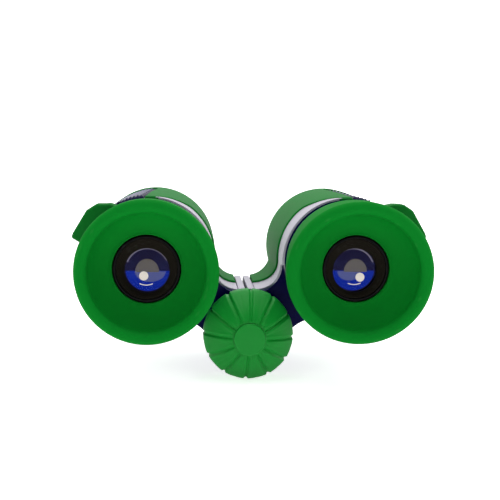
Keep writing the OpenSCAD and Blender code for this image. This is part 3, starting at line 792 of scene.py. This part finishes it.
def grip_rib(number):
    """One raised rib along the pad, or nothing where it would miss the pad."""
    margin = 0.9 / BARREL_R
    half = 0.22 / BARREL_R
    low = BASE + 0.9
    high = low + 0.25
    # the ribs are counted from the first whole pitch past the top of the barrel
    top = math.ceil(math.pi / 2 * BARREL_R / RIB_PITCH)
    loops = []
    for i in range(2, GRIP_ROWS - 1):
        y = grip_y(i)
        first, last = grip_ends(y)
        mid = ((number + top) * RIB_PITCH + RIB_SLANT * (y - GRIP_REAR)) / BARREL_R
        if first + margin < mid < last - margin:
            loops.append([round_barrel(theta, y, skin)
                          for theta, skin in ((mid - half, low), (mid - half * 0.6, high),
                                              (mid + half * 0.6, high), (mid + half, low))])
        elif len(loops) > 6:
            break
        else:
            loops = []
    return loft(loops) if len(loops) > 6 else ([], [])


def grip(side):
    """Ribbed pad between the inner panel and the outer part of the armour, with raised ribs in a lighter
    colour that is a painted highlight along their crests.
    """
    points, faces = grip_pad()
    obj = piece(f"{side}_ribbed_grip", points, faces, GRIP, f"{side}_half",
                SIDES[side], sharp=60)
    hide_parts(f"{side}_grip")
    # The raised ribs are real; their lighter colour is a painted highlight.
    points, faces = join(*[grip_rib(number) for number in range(-12, 30)])
    piece(f"{side}_grip_ribs", points, faces, PAINTED_CREST_HIGHLIGHT, f"{side}_half",
          SIDES[side], sharp=60)


# Outward reach of each strap lug from the barrel axis, and its turn above the horizontal
LUG_SHAPE = {"left": (24.9, 31), "right": (26.4, 30)}


def strap_lug(side):
    """Moulded lug: flat outer end and a slope down to the barrel."""
    reach, tilt = LUG_SHAPE[side]
    turn = math.radians(tilt)
    flat = rounded([
        (17, -6.2), (reach - 0.3, -6.2, 0.8), (reach, -4.6, 0.5), (reach, 3.6, 1.2),
        (reach - 1.6, 6.8, 1.2), (reach - 4.2, 8.4, 1.6), (19.6, 9.2, 2), (16, 9.6),
    ], 4)
    rear = 26.6
    front = 33.6
    soft = 0.8
    middle = (21, 1)
    edge = [(soft * run, soft * (1 - rise)) for rise, run in rounding(5)]
    slices = [(rear + depth, inset) for depth, inset in edge]
    slices += [(front - depth, inset) for depth, inset in reversed(edge)]
    loops = []
    for y, inset in slices:
        loop = []
        for a, b in flat:
            away = math.hypot(a - middle[0], b - middle[1])
            a -= (a - middle[0]) / away * inset
            b -= (b - middle[1]) / away * inset
            loop.append((HALF + a * math.cos(turn) - b * math.sin(turn), y,
                         a * math.sin(turn) + b * math.cos(turn)))
        loops.append(loop)
    points, faces = loft(loops)
    # The lug's darker rubber is painted shade.
    obj = piece(f"{side}_rubber_lug", points, faces, LUG_RUBBER_PAINTED_SHADE, f"{side}_half",
                SIDES[side], sharp=50)
    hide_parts(f"{side}_strap_lug")


# ---------------------------------------------------------------- focus knob

PETALS = 12
HUB_R = 4.9
# Where the dome starts beside the hub, and the angle of one of its grooves
DOME_R = 5
GROOVE_AT = math.radians(87)


def knob_profile():
    """Radius and distance from the hub over the dome to the hollow back."""
    dome = []
    for k in range(31):
        r = DOME_R + (KNOB_R - 1.1 - DOME_R) * k / 30
        dome.append((r, 18.3 + 6.7 * ((r - DOME_R) / 9.3) ** 1.7))
    shoulder = [(KNOB_R - 0.62, 24.35), (KNOB_R - 0.28, 24.85), (KNOB_R - 0.07, 25.5), (KNOB_R, 26.2)]
    wall = [(KNOB_R, y) for y in (27, 28, 29)]
    back = [(KNOB_R - 0.1, 29.7), (KNOB_R - 0.4, 30.2), (KNOB_R - 0.8, 30.4), (12.6, 30.4),
            (12.4, 30.2), (12.4, 27), (7.4, 27), (7.4, 22.5), (5.2, 22.5), (5.2, 30.8), (1.82, 30.8),
            (1.82, 19.2), (5, 19.2)]
    return dome + shoulder + wall + back


def petal(angle, r, y):
    """Bends the knob's profile into petals with a groove and a rim notch between them."""
    on_dome = r > DOME_R + 0.01 and y < 27 or r > KNOB_R - 1.2
    if not on_dome:
        return r, y
    step = 2 * math.pi / PETALS
    off = (angle - GROOVE_AT + step / 2) % step - step / 2
    across = abs(off) * r
    near_rim = ease((r - 6) / 7)
    from_hub = ease((r - DOME_R) / 0.8)
    groove = max(0.0, 1 - (across / (0.5 + 0.2 * near_rim)) ** 1.6)
    hollow = (2 * off / step) ** 2
    depth = (0.5 + 0.3 * near_rim) * groove + hollow * (0.06 + 0.12 * near_rim)
    lift = 0.1 * from_hub * math.exp(-((across - 1.05) / 0.3) ** 2)
    on_wall = ease((y - 23.6) / 2)
    return (r - on_wall * (0.55 * groove + 0.06 * hollow),
            y + (depth * from_hub - lift) * (1 - ease((y - 24.5) / 3)))


def knob():
    """Focus knob with its petals, and the flat cap in its middle."""
    # Petals and cap both use the knob rubber, lightened in part as painted light.
    points, faces = spin(knob_profile(), x=0, z=-DROP, count=PETALS * 48, lobes=petal)
    obj = piece("petal_knob", points, faces, KNOB_RUBBER_PAINTED_LIGHT, "focus_knob", sharp=50)
    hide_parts("focus_knob")
    hub = rounded([(0, 17.4), (HUB_R, 17.4, 0.3), (HUB_R, 19.2), (2.3, 19.2), (2.3, 18.3), (0, 18.3)])
    points, faces = spin(hub, x=0, z=-DROP, count=120)
    obj = piece("knob_hub_cap", points, faces, KNOB_RUBBER_PAINTED_LIGHT, "focus_knob")
    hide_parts("knob_cap")


# ---------------------------------------------------------------- carried CAD nodes

CARRIED = {
    "body": NAVY, "collar": NAVY, "diopter_ring": NAVY,
    "lens_spacer": MATT_BLACK, "field_lens": FIELD_COAT, "field_stop": MATT_BLACK,
    "prism_holder": MATT_BLACK, "roof_prism": PRISM, "half_prism": PRISM, "prism_spring": SPRING,
    "objective_cell": MATT_BLACK, "objective_lens": FRONT_COAT, "objective_ring": BLACK,
    "focus_arm": GREY, "arm_screw": STEEL, "hinge_axle": STEEL, "hinge_washers": NYLON,
    "hinge_end_cap": NAVY, "hinge_end_screw": STEEL, "knob_bush": BRASS, "focus_screw": STEEL,
    "screw_clip": SPRING, "focus_carriage": GREY, "knob_screw": STEEL,
}
BEVELLED = {
    "body": 0.35, "collar": 0.3, "diopter_ring": 0.2, "hinge_end_cap": 0.15,
    "hinge_end_screw": 0.08, "objective_ring": 0.1, "focus_arm": 0.15, "focus_carriage": 0.15,
}


def carried():
    """Gives each CAD node that stays its material, and softens its edges."""
    for name, obj in nodes.items():
        kind = name.replace("left_", "").replace("right_", "")
        if kind not in CARRIED:
            continue
        obj.data.materials.clear()
        obj.data.materials.append(CARRIED[kind])
        if kind in BEVELLED:
            weld = obj.modifiers.new("weld", "WELD")
            weld.merge_threshold = 1e-6
            bevel = obj.modifiers.new("bevel", "BEVEL")
            bevel.width = BEVELLED[kind] * MM
            bevel.segments = 3
            bevel.limit_method = "ANGLE"
            bevel.angle_limit = math.radians(40)
            bevel.harden_normals = False
            smooth = obj.modifiers.new("smooth", "WEIGHTED_NORMAL")
            smooth.keep_sharp = False


# ---------------------------------------------------------------- stage

def look_from(obj, at, to, roll=0.0):
    """Turns a camera or light at one point towards another."""
    obj.location = at
    turn = (to - at).to_track_quat("-Z", "Y").to_matrix().to_4x4()
    obj.matrix_world = Matrix.Translation(at) @ turn @ Matrix.Rotation(math.radians(roll), 4, "Z")


# The eye point and the point looked at, in the half's own millimetres
EYE = (-17.3, -244.1, 33.9)
AIM = (-1.4, 0, 6.7)


def camera():
    """Camera a quarter of a metre behind the eyecups, a little above and to the left."""
    data = bpy.data.cameras.new("camera")
    data.lens = 62.6
    data.sensor_width = 36
    data.clip_start = 0.01
    data.clip_end = 20
    obj = bpy.data.objects.new("camera", data)
    bpy.context.scene.collection.objects.link(obj)
    look_from(obj, place(EYE), place(AIM), roll=0.6)
    bpy.context.scene.camera = obj


def light_table():
    """Pale floor that glows a little, more to the camera than to the object."""
    size = 6.0
    mesh = bpy.data.meshes.new("floor")
    mesh.from_pydata([(x, y, FLOOR_Z) for x, y in
                      ((-size, -size), (size, -size), (size, size), (-size, size))],
                     [], [(0, 1, 2, 3)])
    floor = bpy.data.objects.new("floor", mesh)
    bpy.context.scene.collection.objects.link(floor)
    paint = bpy.data.materials.new("floor")
    paint.use_nodes = True
    tree = paint.node_tree
    shader = tree.nodes["Principled BSDF"]
    shader.inputs["Base Color"].default_value = (0.93, 0.93, 0.93, 1)
    shader.inputs["Roughness"].default_value = 0.9
    shader.inputs["Emission Color"].default_value = (1, 1, 1, 1)
    seen = tree.nodes.new("ShaderNodeLightPath")
    level = tree.nodes.new("ShaderNodeMapRange")
    level.inputs["To Min"].default_value = 0.28
    level.inputs["To Max"].default_value = 0.75
    tree.links.new(seen.outputs["Is Camera Ray"], level.inputs["Value"])
    tree.links.new(level.outputs["Result"], shader.inputs["Emission Strength"])
    mesh.materials.append(paint)


def surround():
    """White all round to the camera; the light it gives fades out behind the eyepieces."""
    world = bpy.data.worlds.new("surround")
    bpy.context.scene.world = world
    world.use_nodes = True
    tree = world.node_tree
    sky = tree.nodes["Background"]
    sky.inputs["Color"].default_value = (1, 1, 1, 1)
    where = tree.nodes.new("ShaderNodeTexCoord")
    parts = tree.nodes.new("ShaderNodeSeparateXYZ")
    tree.links.new(where.outputs["Generated"], parts.inputs["Vector"])
    around = tree.nodes.new("ShaderNodeMapRange")
    around.interpolation_type = "SMOOTHSTEP"
    around.inputs["From Min"].default_value = -0.75
    around.inputs["From Max"].default_value = -0.1
    around.inputs["To Min"].default_value = 0.05
    around.inputs["To Max"].default_value = 1.1
    tree.links.new(parts.outputs["Y"], around.inputs["Value"])
    path = tree.nodes.new("ShaderNodeLightPath")
    seen = tree.nodes.new("ShaderNodeMath")
    seen.operation = "MAXIMUM"
    tree.links.new(path.outputs["Is Camera Ray"], seen.inputs[0])
    tree.links.new(around.outputs["Result"], seen.inputs[1])
    tree.links.new(seen.outputs["Value"], sky.inputs["Strength"])


def overhead():
    """Soft light from above and a little behind the eyepieces."""
    data = bpy.data.lights.new("overhead", "SUN")
    data.energy = 1.1
    data.angle = math.radians(70)
    lamp = bpy.data.objects.new("overhead", data)
    bpy.context.scene.collection.objects.link(lamp)
    look_from(lamp, Vector((0.2, -0.15, 1.5)), Vector((0, 0, 0)))


for side in SIDES:
    eyecup(side)
    eyepiece(side)
    armour(side)
    trim(side)
    grip(side)
    strap_lug(side)
knob()
carried()
camera()
light_table()
surround()
overhead()
bpy.context.scene.view_settings.view_transform = "Standard"
